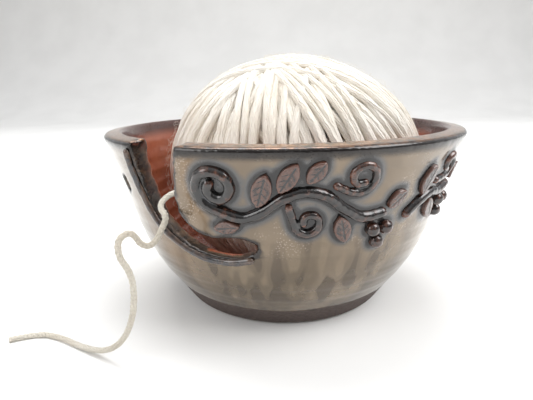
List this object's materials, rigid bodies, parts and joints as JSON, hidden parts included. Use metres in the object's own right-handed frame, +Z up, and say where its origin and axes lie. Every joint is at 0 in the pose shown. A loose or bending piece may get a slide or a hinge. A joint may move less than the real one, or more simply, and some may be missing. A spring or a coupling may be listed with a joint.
{
  "type": "yarn bowl",
  "caption": "Thrown stoneware yarn bowl with a curled yarn slot, a needle hole and an applied clay vine, holding a wound ball of yarn whose working strand leaves through the slot.",
  "frame": {"origin": "centre of the flat foot's underside, on the surface that the bowl stands on", "axes": "+Z up along the bowl's turned axis, -Y towards the decorated front, +X to the right seen from the front"},
  "size_m": [0.1933, 0.1649, 0.1127],
  "materials": {
    "bronze_glaze": "glossy bronze and iron red glaze over bare brown foot",
    "lip_glaze": "glossy dark blue grey glaze",
    "coil_glaze": "glossy black glaze breaking red brown",
    "ball_yarn": "plied wool, cream",
    "strand_yarn": "plied wool, cream"
  },
  "bodies": {
    "bowl": {"thrown_bowl": "bronze_glaze", "berry_1": "coil_glaze", "berry_2": "coil_glaze", "berry_3": "coil_glaze", "leaf_lower_left": "coil_glaze", "leaf_over_stem": "coil_glaze", "leaf_tip": "coil_glaze", "leaf_top": "coil_glaze", "leaf_under_stem": "coil_glaze", "leaf_upper_left": "coil_glaze", "slot_lip_coil": "lip_glaze", "sprig_berry_1": "coil_glaze", "sprig_berry_2": "coil_glaze", "sprig_berry_3": "coil_glaze", "sprig_leaf_lower": "coil_glaze", "sprig_leaf_tip": "coil_glaze", "sprig_leaf_upper": "coil_glaze", "sprig_stem": "coil_glaze", "sprig_tendril": "coil_glaze", "tendril_lower": "coil_glaze", "tendril_upper": "coil_glaze", "vine_stem": "coil_glaze"},
    "strand": {"working_strand": "strand_yarn"},
    "ball": {"yarn_ball": "ball_yarn"}
  },
  "joints": [
    {"name": "yarn_lift", "type": "slide", "parent": "bowl", "child": "strand", "axis": [0, 0, 1], "range_m": [0, 0.13]},
    {"name": "ball_spin", "type": "hinge", "parent": "strand", "child": "ball", "pos_m": [0.005, 0, 0.06], "axis": [0, 0, 1], "continuous": true}
  ]
}
